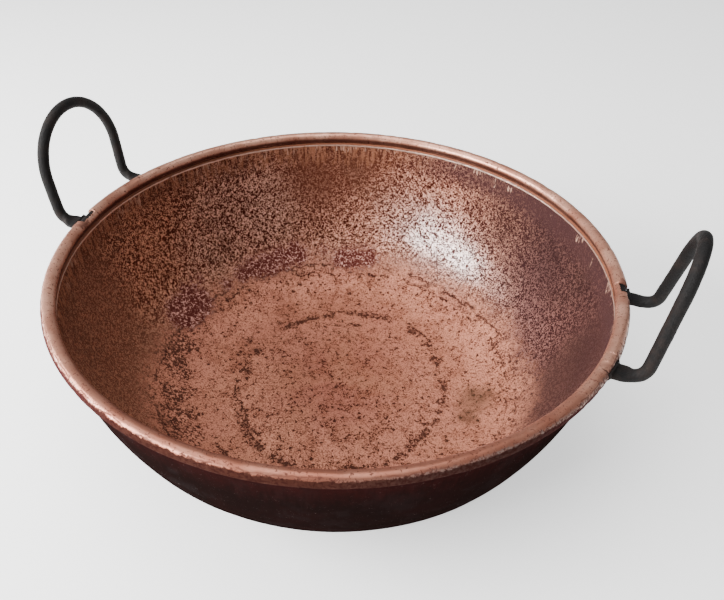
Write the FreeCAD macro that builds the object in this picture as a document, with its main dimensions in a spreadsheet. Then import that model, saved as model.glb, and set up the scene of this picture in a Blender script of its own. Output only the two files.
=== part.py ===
import FreeCAD, Part
import math
import operator
import os

import Sketcher
from FreeCAD import Placement, Rotation, Vector

# A hand-raised copper pan with a wired rim and two wrought-iron loop handles.
# Origin: centre of the flat base's underside. +Z is up, +X points at the right handle.

os.makedirs("parts", exist_ok=True)
doc = FreeCAD.newDocument("copper_pan")

# Driving dimensions, in millimetres and degrees
sheet = doc.addObject("Spreadsheet::Sheet", "Sizes")
driving = {
    # the pan: its sheet, the flat of its base, and the wall's slope at the knuckle and at its top
    "rim_diameter": 450,
    "pan_height": 150.5,
    "sheet_thickness": 1.6,
    "base_radius": 102.5,
    "wall_foot_angle": 64.33,
    "wall_top_angle": 85.07,
    # the rim, rolled outward over its wire, with a pinched neck below the roll
    "wire_diameter": 7.4,
    "wire_clearance": 0.15,
    "curl_end_angle": -85,
    "neck_offset": 3,
    "groove_radius": 0.5,
    "ridge_radius": 1.6,
    "wall_offset": 3.1,
    # the notches in the roll, one for each handle foot
    "notch_top_angle": 38,
    "torn_notch_angle": 66,
    "notch_overcut_angle": 2,
    "notch_clearance": 0.7,
    # what the handles share
    "rod_diameter": 9,
    "handle_skew_angle": 1,
    "foot_half_span": 44,
    "foot_drop": 1.2,
    "corner_reach": 14.6,
    "bend_radius": 8.5,
    "tab_width": 13,
    "tab_thickness": 3,
    "tab_reach": 3.2,
    "foot_overlap": 0.6,
    "hook_thickness": 2.4,
    "hook_top_angle": 28,
    "hook_tip_angle": -94,
    # each handle's own loop
    "left_height": 84,
    "left_leg_angle": -0.7,
    "left_lean_angle": 4.7,
    "right_height": 84.2,
    "right_leg_angle": 15.8,
    "right_lean_angle": 6.9,
}
for row, (name, number) in enumerate(driving.items(), start=1):
    sheet.set(f"A{row}", name)
    sheet.set(f"B{row}", str(number))
    sheet.setAlias(f"B{row}", name)
doc.recompute()


class Size:
    """A measure kept twice: its number now, and the formula on the sheet that a feature is bound to."""

    def __init__(self, number, formula):
        self.number = number
        self.formula = formula

    def __add__(self, other):
        return combine(self, "+", other)

    def __sub__(self, other):
        return combine(self, "-", other)

    def __mul__(self, other):
        return combine(self, "*", other)

    def __truediv__(self, other):
        return combine(self, "/", other)

    def __neg__(self):
        return Size(-self.number, f"(-{self.formula})")


def combine(left, sign, right):
    sums = {"+": operator.add, "-": operator.sub, "*": operator.mul, "/": operator.truediv}
    if not isinstance(right, Size):
        right = Size(right, str(right))
    return Size(sums[sign](left.number, right.number), f"({left.formula} {sign} {right.formula})")


def length(name):
    return Size(float(sheet.get(name)), f"Sizes.{name}")


def angle(name):
    return Size(float(sheet.get(name)), f"(Sizes.{name} * 1 deg)")


def degrees(number):
    return Size(number, f"{number} deg")


def sine(turn):
    return Size(math.sin(math.radians(turn.number)), f"sin({turn.formula})")


def cosine(turn):
    return Size(math.cos(math.radians(turn.number)), f"cos({turn.formula})")


def tangent(turn):
    return Size(math.tan(math.radians(turn.number)), f"tan({turn.formula})")


def arcSine(ratio):
    return Size(math.degrees(math.asin(ratio.number)), f"asin({ratio.formula})")


def arcCosine(ratio):
    return Size(math.degrees(math.acos(ratio.number)), f"acos({ratio.formula})")


def arcTangent(ratio):
    return Size(math.degrees(math.atan(ratio.number)), f"atan({ratio.formula})")


def root(square):
    return Size(math.sqrt(square.number), f"sqrt({square.formula})")


# Sizes that several pieces share
rimRadius = length("rim_diameter") / 2
curlRadius = length("wire_diameter") / 2 + length("wire_clearance")
beadRadius = curlRadius + length("sheet_thickness")
wireCircle = rimRadius - beadRadius
wireHeight = length("pan_height") - beadRadius
footHeight = wireHeight - length("foot_drop")
footAzimuth = arcSine(length("foot_half_span") / rimRadius)
cornerRadius = rimRadius + length("corner_reach")
rodRadius = length("rod_diameter") / 2
# The handles stand a little off one diameter, both toward -Y
leftAzimuth = degrees(180) + angle("handle_skew_angle")
rightAzimuth = degrees(360) - angle("handle_skew_angle")

# The Sketcher's numbers for a curve's start, end and centre, and for the sketch's own origin
START, END, CENTRE = range(1, 4)
ORIGIN = (-1, START)


def originPlane(body, role):
    return [feature for feature in body.Origin.OriginFeatures if feature.Role == role][0]


def addSketch(body, name, role, base=(0, 0, 0), axis=(1, 0, 0), turn=degrees(0)):
    """A sketch on one of the body's own planes, moved and turned within that plane's frame."""
    sketch = body.newObject("Sketcher::SketchObject", name)
    sketch.AttachmentSupport = (originPlane(body, role), [""])
    sketch.MapMode = "FlatFace"
    numbers = [place.number if isinstance(place, Size) else place for place in base]
    sketch.AttachmentOffset = Placement(Vector(*numbers), Rotation(Vector(*axis), turn.number))
    for letter, place in zip("xyz", base):
        if isinstance(place, Size):
            sketch.setExpression(f"AttachmentOffset.Base.{letter}", place.formula)
    sketch.setExpression("AttachmentOffset.Rotation.Angle", turn.formula)
    return sketch


def hold(sketch, name, size, kind, *where):
    """Adds a dimension to a sketch and binds it to the sheet."""
    number = math.radians(size.number) if kind == "Angle" else size.number
    index = sketch.addConstraint(Sketcher.Constraint(kind, *where, number))
    sketch.renameConstraint(index, name)
    sketch.setExpression(f"Constraints.{name}", size.formula)


def relate(sketch, kind, *where):
    sketch.addConstraint(Sketcher.Constraint(kind, *where))


def addLine(sketch, start, end, construction=False):
    return sketch.addGeometry(Part.LineSegment(Vector(*start, 0), Vector(*end, 0)), construction)


def addArc(sketch, centre, radius, first, last):
    """An arc about a centre, from one direction to another, both in degrees."""
    circle = Part.Circle(Vector(*centre, 0), Vector(0, 0, 1), radius)
    arc = Part.ArcOfCircle(circle, math.radians(first), math.radians(last))
    return sketch.addGeometry(arc, False)


def addCentredCircle(sketch, radius):
    circle = sketch.addGeometry(Part.Circle(Vector(0, 0, 0), Vector(0, 0, 1), radius.number), False)
    relate(sketch, "Coincident", circle, CENTRE, *ORIGIN)
    hold(sketch, "radius", radius, "Radius", circle)


def direction(start, end):
    return math.degrees(math.atan2(end[1] - start[1], end[0] - start[0]))


def along(centre, radius, turn):
    """The point at a distance from a centre, in a direction given in degrees."""
    across, up = math.cos(math.radians(turn)), math.sin(math.radians(turn))
    return (centre[0] + radius * across, centre[1] + radius * up)


def addTurned(body, name, kind, sketch, turn, midplane):
    """A revolution or groove of a sketch about the pan's own axis."""
    feature = body.newObject(f"PartDesign::{kind}", name)
    feature.Profile = sketch
    feature.ReferenceAxis = (sketch, ["V_Axis"])
    feature.Midplane = midplane
    feature.setExpression("Angle", turn.formula)
    sketch.Visibility = False


# The pan: one copper sheet of even thickness, in which every arc of the outer face shares its centre with
# the inner face's
def sectionArcs():
    """The outer face's arcs, in order from the base: centre, radius, first and last direction."""
    base, thickness = length("base_radius").number, length("sheet_thickness").number
    foot, top = angle("wall_foot_angle").number, angle("wall_top_angle").number
    ridge, groove = length("ridge_radius").number, length("groove_radius").number + thickness
    neckOffset = length("neck_offset").number
    curl = curlRadius.number

    wire = (wireCircle.number, wireHeight.number)
    grooveCentre = (wire[0] - neckOffset, wire[1] - math.sqrt((curl + groove) ** 2 - neckOffset**2))
    ridgeX = wire[0] - length("wall_offset").number + ridge + thickness / 2
    ridgeDrop = math.sqrt((ridge + groove) ** 2 - (ridgeX - grooveCentre[0]) ** 2)
    ridgeCentre = (ridgeX, grooveCentre[1] - ridgeDrop)

    # The knuckle and the wall turn the sheet from flat to its slope at the foot and then at the top of the
    # wall. Their two radii are those that carry it from the base's edge to the ridge.
    wallTop = along(ridgeCentre, -ridge, top - 90)
    across, rise = wallTop[0] - base, wallTop[1]
    footSine, footCosine = math.sin(math.radians(foot)), math.cos(math.radians(foot))
    wallAcross = math.sin(math.radians(top)) - footSine
    wallRise = footCosine - math.cos(math.radians(top))
    share = footSine * wallRise - wallAcross * (1 - footCosine)
    knuckle = (across * wallRise - wallAcross * rise) / share
    wall = (footSine * rise - (1 - footCosine) * across) / share
    knuckleCentre = (base, knuckle)
    wallCentre = along(knuckleCentre, knuckle - wall, foot - 90)
    return [
        (knuckleCentre, knuckle, -90, foot - 90),
        (wallCentre, wall, foot - 90, top - 90),
        (ridgeCentre, ridge, direction(ridgeCentre, grooveCentre), top + 90),
        (grooveCentre, groove, direction(grooveCentre, ridgeCentre), direction(grooveCentre, wire)),
        (wire, curl, angle("curl_end_angle").number, direction(grooveCentre, wire) + 180),
    ]


def panSection(body):
    """The sheet's section: flat base, knuckle, wall, ridge, pinched groove and the curl over the wire."""
    thickness = length("sheet_thickness").number
    base = length("base_radius").number
    arcs = sectionArcs()
    # Whether the inner face's arc is the smaller or the larger of the two
    sides = (-1, -1, 1, -1, 1)
    sketch = addSketch(body, "PanSection", "XZ_Plane")

    def addFace(offset):
        """One face of the sheet: offset is 0 on the outer face and the thickness on the inner one."""
        line = addLine(sketch, (0, offset), (base, offset))
        return [line] + [
            addArc(sketch, centre, radius + side * offset, first, last)
            for (centre, radius, first, last), side in zip(arcs, sides)
        ]

    outer, inner = addFace(0), addFace(thickness)
    for line, knuckleArc, wallArc, ridgeArc, grooveArc, curlArc in (outer, inner):
        relate(sketch, "Horizontal", line)
        relate(sketch, "Tangent", line, END, knuckleArc, START)
        relate(sketch, "Tangent", knuckleArc, END, wallArc, START)
        relate(sketch, "Tangent", wallArc, END, ridgeArc, END)
        relate(sketch, "Tangent", ridgeArc, START, grooveArc, START)
        relate(sketch, "Tangent", grooveArc, END, curlArc, END)
    for outerArc, innerArc in zip(outer[1:], inner[1:]):
        relate(sketch, "Coincident", outerArc, CENTRE, innerArc, CENTRE)

    # The free edge, square across the sheet, and the section's side on the axis
    wire, curl, freeEdge, _ = arcs[4]
    edge = addLine(sketch, along(wire, curl, freeEdge), along(wire, curl + thickness, freeEdge))
    axis = addLine(sketch, (0, thickness), (0, 0))
    relate(sketch, "Coincident", edge, START, outer[5], START)
    relate(sketch, "Coincident", edge, END, inner[5], START)
    relate(sketch, "PointOnObject", outer[5], CENTRE, edge)
    relate(sketch, "Coincident", axis, START, inner[0], START)
    relate(sketch, "Coincident", axis, END, outer[0], START)
    relate(sketch, "Coincident", outer[0], START, *ORIGIN)
    relate(sketch, "Vertical", inner[0], START, *ORIGIN)

    # The wall's slopes are held by rays from its centre to its two ends
    wallCentre, wall, _, _ = arcs[1]
    for name, place, size in (
        ("foot_slope", START, angle("wall_foot_angle") - degrees(90)),
        ("top_slope", END, angle("wall_top_angle") - degrees(90)),
    ):
        ray = addLine(sketch, wallCentre, along(wallCentre, wall, size.number), construction=True)
        relate(sketch, "Coincident", ray, START, outer[2], CENTRE)
        relate(sketch, "Coincident", ray, END, outer[2], place)
        hold(sketch, name, size, "Angle", ray)

    ridgeCircle = wireCircle - length("wall_offset") + length("ridge_radius") + length("sheet_thickness") / 2
    hold(sketch, "thickness", length("sheet_thickness"), "DistanceY", *ORIGIN, inner[0], START)
    hold(sketch, "base", length("base_radius"), "DistanceX", *ORIGIN, outer[0], END)
    hold(sketch, "ridge", length("ridge_radius"), "Radius", outer[3])
    hold(sketch, "groove", length("groove_radius"), "Radius", inner[4])
    hold(sketch, "curl", curlRadius, "Radius", outer[5])
    hold(sketch, "wire_circle", wireCircle, "DistanceX", *ORIGIN, outer[5], CENTRE)
    hold(sketch, "wire_height", wireHeight, "DistanceY", *ORIGIN, outer[5], CENTRE)
    hold(sketch, "neck", length("neck_offset"), "DistanceX", outer[4], CENTRE, outer[5], CENTRE)
    hold(sketch, "ridge_circle", ridgeCircle, "DistanceX", *ORIGIN, outer[3], CENTRE)
    hold(sketch, "free_edge", angle("curl_end_angle"), "Angle", edge)
    return sketch


def addRingSector(body, name, azimuth, inner, outer, low, high):
    """A sketch of part of a ring round the wire's section, in the plane at an azimuth."""
    sketch = addSketch(body, name, "XZ_Plane", axis=(0, 1, 0), turn=azimuth)
    wire = (wireCircle.number, wireHeight.number)
    arcs = [addArc(sketch, wire, radius.number, low.number, high.number) for radius in (inner, outer)]
    for label, place, turn in (("low", START, low), ("high", END, high)):
        points = [along(wire, radius.number, turn.number) for radius in (inner, outer)]
        ray = addLine(sketch, *points)
        relate(sketch, "Coincident", ray, START, arcs[0], place)
        relate(sketch, "Coincident", ray, END, arcs[1], place)
        relate(sketch, "PointOnObject", arcs[0], CENTRE, ray)
        hold(sketch, label, turn, "Angle", ray)
    relate(sketch, "Coincident", arcs[0], CENTRE, arcs[1], CENTRE)
    hold(sketch, "inner", inner, "Radius", arcs[0])
    hold(sketch, "outer", outer, "Radius", arcs[1])
    hold(sketch, "wire_circle", wireCircle, "DistanceX", *ORIGIN, arcs[0], CENTRE)
    hold(sketch, "wire_height", wireHeight, "DistanceY", *ORIGIN, arcs[0], CENTRE)
    return sketch


pan = doc.addObject("PartDesign::Body", "pan_bowl")
addTurned(pan, "PanSheet", "Revolution", panSection(pan), degrees(360), False)
doc.recompute()

# Each notch takes away the roll's outer and lower side, down to the free edge, and bares the wire. Its cut
# starts halfway across the clearance round the wire, ends outside the roll and runs on past the free edge.
# One notch at each handle is torn further up the roll, the one nearer +Y on the right, nearer -Y on the left.
notchTurn = arcSine((length("tab_width") / 2 + length("notch_clearance")) / wireCircle) * 2
for handle, handleAzimuth in (("Left", leftAzimuth), ("Right", rightAzimuth)):
    for foot, azimuth, top in (
        ("A", handleAzimuth + footAzimuth, angle("torn_notch_angle")),
        ("B", handleAzimuth - footAzimuth, angle("notch_top_angle")),
    ):
        name = f"{handle}Notch{foot}"
        section = addRingSector(
            pan,
            f"{name}Section",
            azimuth,
            inner=curlRadius - length("wire_clearance") / 2,
            outer=beadRadius + length("wire_clearance"),
            low=angle("curl_end_angle") - angle("notch_overcut_angle"),
            high=top,
        )
        before = pan.Shape.Volume
        addTurned(pan, name, "Groove", section, notchTurn, True)
        doc.recompute()
        assert pan.Shape.Volume < before, f"{name} cuts nothing"

# The rim wire: one closed ring of round iron inside the roll
wireRing = doc.addObject("Part::Torus", "rim_wire")
wireRing.setExpression("Radius1", wireCircle.formula)
wireRing.setExpression("Radius2", (length("wire_diameter") / 2).formula)
wireRing.setExpression("Placement.Base.z", wireHeight.formula)


# The handles: each is one round rod, bent to an upright loop, with its feet drawn down flat and hooked
# round the wire. One foot and half the loop are modelled in the handle's own frame, where +X points
# outward and the mid-plane is XZ, and are then mirrored.
class Loop:
    """The sizes of one handle's loop, and the sketches and features of its body."""

    def __init__(self, name):
        self.side = name.split("_")[1]
        self.height = length(f"{self.side}_height")
        self.leg = angle(f"{self.side}_leg_angle")
        self.lean = angle(f"{self.side}_lean_angle")
        # The rod turns from the foot's outward run into the leg, and the bend takes up a length of both
        self.turn = arcCosine(sine(self.lean) * cosine(self.leg))
        self.setback = length("bend_radius") * tangent(self.turn / 2)
        self.body = doc.addObject("PartDesign::Body", name)

    def nameOf(self, label):
        return f"{self.side.capitalize()}{label}"

    def addFeature(self, kind, label):
        return self.body.newObject(f"PartDesign::{kind}", self.nameOf(label))

    def addCrossSection(self, label, x):
        """A sketch across the foot's centre line, at a distance from the pan's axis."""
        base = (length("foot_half_span"), footHeight, x)
        return addSketch(self.body, self.nameOf(label), "YZ_Plane", base=base)


def addHook(loop):
    """A band that seats on the wire from its outer side to below it, and the flat that leads to it."""
    tabTurn = arcSine(length("tab_width") / 2 / wireCircle) * 2
    hook = addRingSector(
        loop.body,
        loop.nameOf("HookSection"),
        footAzimuth,
        inner=curlRadius,
        outer=curlRadius + length("hook_thickness"),
        low=angle("hook_tip_angle"),
        high=angle("hook_top_angle"),
    )
    addTurned(loop.body, loop.nameOf("Hook"), "Revolution", hook, tabTurn, True)

    # The flat runs from the middle of the hook's band out past the rim
    start = wireCircle + curlRadius + length("hook_thickness") / 2
    reach = rimRadius + length("tab_reach")
    bottom = footHeight - length("tab_thickness") / 2
    top = footHeight + length("tab_thickness") / 2
    tab = addSketch(loop.body, loop.nameOf("TabSection"), "XZ_Plane", axis=(0, 1, 0), turn=footAzimuth)
    corners = ((start, bottom), (reach, bottom), (reach, top), (start, top))
    points = [(x.number, z.number) for x, z in corners]
    sides = [addLine(tab, points[i - 1], points[i]) for i in range(4)]
    for i in range(4):
        relate(tab, "Coincident", sides[i - 1], END, sides[i], START)
        relate(tab, "Horizontal" if i % 2 else "Vertical", sides[i])
    hold(tab, "start", start, "DistanceX", *ORIGIN, sides[1], START)
    hold(tab, "reach", reach, "DistanceX", *ORIGIN, sides[1], END)
    hold(tab, "bottom", bottom, "DistanceY", *ORIGIN, sides[1], START)
    hold(tab, "thickness", length("tab_thickness"), "DistanceY", sides[2], START, sides[2], END)
    addTurned(loop.body, loop.nameOf("Tab"), "Revolution", tab, tabTurn, True)


def drawFlat(section):
    """The foot's flat end: a strap with round edges."""
    half = length("tab_thickness") / 2
    straight = length("tab_width") / 2 - half
    x, y = straight.number, half.number
    right, left = addArc(section, (x, 0), y, -90, 90), addArc(section, (-x, 0), y, 90, 270)
    top, bottom = addLine(section, (x, y), (-x, y)), addLine(section, (-x, -y), (x, -y))
    relate(section, "Tangent", right, END, top, START)
    relate(section, "Tangent", top, END, left, START)
    relate(section, "Tangent", left, END, bottom, START)
    relate(section, "Tangent", bottom, END, right, START)
    relate(section, "Horizontal", top)
    relate(section, "Horizontal", right, CENTRE, *ORIGIN)
    relate(section, "Symmetric", right, CENTRE, left, CENTRE, *ORIGIN)
    hold(section, "half_thickness", half, "Radius", right)
    hold(section, "straight", straight, "DistanceX", *ORIGIN, right, CENTRE)


def drawRound(section):
    """The foot's round end, drawn as four arcs, so that flat runs into round edge by edge."""
    quarters = [addArc(section, (0, 0), rodRadius.number, turn - 45, turn + 45) for turn in (0, 90, 180, 270)]
    for i, quarter in enumerate(quarters):
        relate(section, "Coincident", quarters[i - 1], END, quarter, START)
        relate(section, "Coincident", quarter, CENTRE, *ORIGIN)
    hold(section, "radius", rodRadius, "Radius", quarters[0])
    diagonal = rodRadius * sine(degrees(45))
    hold(section, "upper_right", diagonal, "DistanceY", *ORIGIN, quarters[0], END)
    hold(section, "upper_left", diagonal, "DistanceY", *ORIGIN, quarters[1], END)
    hold(section, "lower_left", diagonal, "DistanceY", quarters[2], END, *ORIGIN)
    hold(section, "lower_right", diagonal, "DistanceY", quarters[3], END, *ORIGIN)


def addFoot(loop):
    """The foot spreads from the round rod to the flat, which it enters by a small overlap."""
    reach = rimRadius + length("tab_reach")
    corner = length("foot_half_span") + length("tab_width") / 2
    flat = loop.addCrossSection("FootFlat", root(reach * reach - corner * corner) - length("foot_overlap"))
    drawFlat(flat)
    full = loop.addCrossSection("FootRound", cornerRadius - loop.setback)
    drawRound(full)
    foot = loop.addFeature("AdditiveLoft", "Foot")
    foot.Profile = flat
    foot.Sections = [full]
    foot.Ruled = True


def addBend(loop):
    """The bend from the foot's run up into the leg, in the plane that holds both."""
    base = (cornerRadius, footHeight, -length("foot_half_span"))
    tilt = arcTangent(tangent(loop.leg) / cosine(loop.lean))
    path = addSketch(loop.body, loop.nameOf("BendPath"), "XZ_Plane", base=base, turn=tilt)
    setback, turn, radius = loop.setback.number, loop.turn.number, length("bend_radius")
    run = addLine(path, (-setback, 0), (0, 0), construction=True)
    leg = addLine(path, (0, 0), along((0, 0), setback, turn), construction=True)
    arc = addArc(path, (-setback, radius.number), radius.number, -90, turn - 90)
    relate(path, "Coincident", run, END, *ORIGIN)
    relate(path, "Coincident", leg, START, *ORIGIN)
    relate(path, "Tangent", run, START, arc, START)
    relate(path, "Tangent", arc, END, leg, END)
    relate(path, "Horizontal", run)
    hold(path, "turn", loop.turn, "Angle", leg)
    hold(path, "radius", radius, "Radius", arc)
    profile = loop.addCrossSection("BendRound", cornerRadius - loop.setback)
    addCentredCircle(profile, rodRadius)
    pipe = loop.addFeature("AdditivePipe", "Bend")
    pipe.Profile = profile
    pipe.Spine = (path, ["Edge1"])


def addHalfLoop(loop):
    """Half the loop, from the crown down to the bend, in the plane that leans outward."""
    base = (0, footHeight, cornerRadius)
    path = addSketch(loop.body, loop.nameOf("LoopPath"), "YZ_Plane", base=base, turn=loop.lean)
    span = length("foot_half_span")
    legX, legY = span - loop.setback * sine(loop.leg), loop.setback * cosine(loop.leg)
    slope, height = math.radians(loop.leg.number), loop.height.number
    crown = (span.number * math.cos(slope) - height * math.sin(slope)) / (1 - math.sin(slope))
    crownCentre = (0, height - crown)
    top = addArc(path, crownCentre, crown, loop.leg.number, 90)
    leg = addLine(path, along(crownCentre, crown, loop.leg.number), (legX.number, legY.number))
    relate(path, "Tangent", leg, START, top, START)
    relate(path, "Vertical", top, END, *ORIGIN)
    relate(path, "Vertical", top, CENTRE, *ORIGIN)
    hold(path, "height", loop.height, "DistanceY", *ORIGIN, top, END)
    hold(path, "leg_x", legX, "DistanceX", *ORIGIN, leg, END)
    hold(path, "leg_y", legY, "DistanceY", *ORIGIN, leg, END)
    hold(path, "slope", loop.leg - degrees(90), "Angle", leg)
    crownX = cornerRadius + loop.height * sine(loop.lean)
    crownZ = footHeight + loop.height * cosine(loop.lean)
    profile = addSketch(loop.body, loop.nameOf("CrownRound"), "XZ_Plane", base=(crownX, crownZ, 0))
    addCentredCircle(profile, rodRadius)
    pipe = loop.addFeature("AdditivePipe", "Loop")
    pipe.Profile = profile
    pipe.Spine = (path, ["Edge1", "Edge2"])


def addHandle(name, azimuth):
    loop = Loop(name)
    addHook(loop)
    addFoot(loop)
    addBend(loop)
    addHalfLoop(loop)
    mirrored = loop.addFeature("Mirrored", "Mirrored")
    mirrored.Originals = [item for item in loop.body.Group if item.isDerivedFrom("PartDesign::FeatureAddSub")]
    mirrored.MirrorPlane = (originPlane(loop.body, "XZ_Plane"), [""])
    loop.body.Tip = mirrored
    loop.body.Placement = Placement(Vector(0, 0, 0), Rotation(Vector(0, 0, 1), azimuth.number))
    loop.body.setExpression("Placement.Rotation.Angle", azimuth.formula)


addHandle("handle_left", leftAzimuth)
addHandle("handle_right", rightAzimuth)
doc.recompute()

failed = [item.Name for item in doc.Objects if {"Invalid", "Error"} & set(item.State)]
assert not failed, f"these objects failed: {failed}"
for name in ("pan_bowl", "rim_wire", "handle_left", "handle_right"):
    piece = doc.getObject(name)
    assert not piece.Shape.isNull() and piece.Shape.isValid(), f"{name} has no valid shape"
    assert len(piece.Shape.Solids) == 1, f"{name} isn't one solid"
    piece.Shape.exportStep(f"parts/{piece.Label}.step")
    print(name, f"{piece.Shape.Volume:.0f} mm3")
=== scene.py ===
import math

import bmesh
import bpy
import numpy as np
from mathutils import Matrix, Vector, noise


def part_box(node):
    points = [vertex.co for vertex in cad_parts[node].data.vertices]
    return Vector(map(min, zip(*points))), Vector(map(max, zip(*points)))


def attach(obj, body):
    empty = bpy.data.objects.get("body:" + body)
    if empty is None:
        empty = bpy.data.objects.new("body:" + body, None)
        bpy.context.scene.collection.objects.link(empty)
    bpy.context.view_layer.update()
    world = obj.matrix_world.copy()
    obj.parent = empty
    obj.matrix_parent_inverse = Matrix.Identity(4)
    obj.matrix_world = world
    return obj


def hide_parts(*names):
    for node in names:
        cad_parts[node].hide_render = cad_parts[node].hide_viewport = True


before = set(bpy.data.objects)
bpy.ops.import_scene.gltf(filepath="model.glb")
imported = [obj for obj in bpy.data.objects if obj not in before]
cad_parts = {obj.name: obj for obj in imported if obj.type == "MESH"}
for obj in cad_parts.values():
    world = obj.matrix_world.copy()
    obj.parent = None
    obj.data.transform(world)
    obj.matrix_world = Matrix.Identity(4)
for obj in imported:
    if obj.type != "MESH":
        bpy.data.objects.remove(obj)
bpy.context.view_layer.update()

# An old copper preserving pan with a wired rim and two forged iron loops.
# Lengths are in millimetres until a mesh is made, angles in degrees.
mm = 0.001
low, high = (Vector(corner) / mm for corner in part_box("pan_bowl"))
rimRadius = (high.x - low.x) / 2
panHeight = high.z


def polar(angle):
    return np.exp(1j * np.radians(angle))  # a point on the unit circle, as radius + height * 1j


def turn(vector):
    return math.degrees(np.angle(vector))


def ease(value, start, end):
    t = np.clip((value - start) / (end - start), 0, 1)
    return t * t * (3 - 2 * t)


def ripple(points, size, seed=0.0):
    # Smooth noise, about -1 to 1, with lumps of the given size; each seed reads its own stretch of it
    shift = Vector((seed * 17.3, seed * 7.9, seed * 3.1))
    return np.array([noise.noise(Vector(point) / size + shift) for point in points])


def makePiece(name, points, faces, replaces):
    mesh = bpy.data.meshes.new(name)
    mesh.from_pydata((np.asarray(points) * mm).tolist(), [], faces)
    mesh.validate()
    piece = bpy.data.objects.new(name, mesh)
    bpy.context.scene.collection.objects.link(piece)
    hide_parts(replaces)
    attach(piece, "root")
    return piece


# The pan's sheet, drawn as arcs as in the solid
panShape = {
    "sheet": 1.6,
    "baseRadius": 102.5,
    "footSlope": 64.33,  # where the knuckle runs into the wall
    "topSlope": 85.07,  # where the wall meets the ridge
    "wire": 7.4,
    "wireGap": 0.15,
    "neckOffset": 3,
    "grooveRadius": 0.5,
    "ridgeRadius": 1.6,
    "wallOffset": 3.1,
    "freeEdge": -85,
    "edgeWander": 3,
    "edgeLumps": 2.1,  # how quickly the free edge wanders, per degree round the rim
    "edgeSeed": 3.7,
    "columns": 448,
    "notchColumns": 4,  # how many more columns there are at the notches
    "thinning": ((60, 1), (13, 4), (0, 16)),  # from each radius on, one column in so many is kept
    "flatRadii": (0, 3, 7, 12, 19, 27, 36, 46, 57, 68, 79, 89, 96),
    "innerStep": 3.3,
    "outerStep": 5.2,
    "innerRimSteps": (5, 7, 30),  # rows over the ridge, the groove and the roll
    "outerRimSteps": (4, 4, 10),
}

notchShape = {
    "top": 38,
    "tornTop": 66,  # in the two notches that are torn further up the roll
    "clearance": 0.7,
    "footSpan": 44,
    "skew": 1,
    "edge": 0.9,  # how far the cut's side slopes
    "ragged": 9,
}
# The roll is torn open beside two of the feet: from where to where along the rim, and how high up the roll
tears = {"left": {"start": -14, "end": 5, "top": 132}, "right": {"start": -2, "end": 9.5, "top": 118}}
# How wide each foot is where it enters its notch: on the -Y and +Y side of the handle's own frame
tabWidths = {"left": (13, 17), "right": (17, 15)}

panWear = {
    "swell": 0.55,
    "swellSize": 70,
    "swellRadii": (40, 120),  # it sets in between these radii
    "swellHeights": (118, 136),  # and dies away between these heights
    "hammer": 0.16,
    "hammerSize": 17,
    "hammerHeights": (128, 138),
    "dent": 0.42,
    "dentSize": 7,
    "dentEdge": (0.1, 0.6),
    "bow": 0.12,  # how far the bead is pressed in between its dents
    "bowSize": 26,
    "tableRadius": 100,  # inside it nothing is pushed down into the table
}
# The pan's material slots, in this order
insideSkin, beadSkin, outsideSkin = range(3)


def sheetArcs(shape):
    # Each arc: centre, radius of the outer face, side of the inner face, first and last angle
    t = shape["sheet"]
    curl = shape["wire"] / 2 + shape["wireGap"]
    groove = shape["grooveRadius"] + t
    ridge = shape["ridgeRadius"]
    wireAt = (rimRadius - curl - t) + 1j * (panHeight - curl - t)
    grooveAt = wireAt - shape["neckOffset"] - 1j * math.sqrt((curl + groove) ** 2 - shape["neckOffset"] ** 2)
    ridgeX = wireAt.real - shape["wallOffset"] + ridge + t / 2
    ridgeDrop = math.sqrt((ridge + groove) ** 2 - (ridgeX - grooveAt.real) ** 2)
    ridgeAt = ridgeX + 1j * (grooveAt.imag - ridgeDrop)
    foot, top = math.radians(shape["footSlope"]), math.radians(shape["topSlope"])
    wallTop = ridgeAt - ridge * polar(shape["topSlope"] - 90)
    reach = wallTop - shape["baseRadius"]
    sideways = [math.sin(foot), math.sin(top) - math.sin(foot)]
    upwards = [1 - math.cos(foot), math.cos(foot) - math.cos(top)]
    knuckle, wall = np.linalg.solve([sideways, upwards], [reach.real, reach.imag])
    knuckleAt = shape["baseRadius"] + 1j * knuckle
    wallAt = knuckleAt - (wall - knuckle) * polar(shape["footSlope"] - 90)
    toNeck = turn(grooveAt - wireAt) % 360
    return [
        (knuckleAt, knuckle, -1, -90, shape["footSlope"] - 90),
        (wallAt, wall, -1, shape["footSlope"] - 90, shape["topSlope"] - 90),
        (ridgeAt, ridge, 1, shape["topSlope"] + 90, turn(grooveAt - ridgeAt)),
        (grooveAt, groove, -1, turn(ridgeAt - grooveAt), turn(wireAt - grooveAt)),
        (wireAt, curl, 1, toNeck, shape["freeEdge"]),
    ]


arcs = sheetArcs(panShape)
rollAt, rollRadius = arcs[-1][:2]
wireCircle, wireHeight = rollAt.real, rollAt.imag
footTurn = math.degrees(math.asin(notchShape["footSpan"] / rimRadius))
handleTurns = {"left": 180 + notchShape["skew"], "right": 360 - notchShape["skew"]}


def notchRanges():
    # First azimuth, last azimuth and top of each notch and of the tears beside them
    ranges = []
    for side, middle in handleTurns.items():
        for sign, width in zip((-1, 1), tabWidths[side]):
            half = math.degrees((width / 2 + notchShape["clearance"]) / wireCircle)
            centre = (middle + sign * footTurn) % 360
            ranges.append((centre - half, centre + half, notchShape["tornTop" if sign > 0 else "top"]))
        start, end = (centre + math.degrees(tears[side][name] / wireCircle) for name in ("start", "end"))
        ranges.append((start, end, tears[side]["top"]))
    return ranges


notches = notchRanges()


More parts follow.
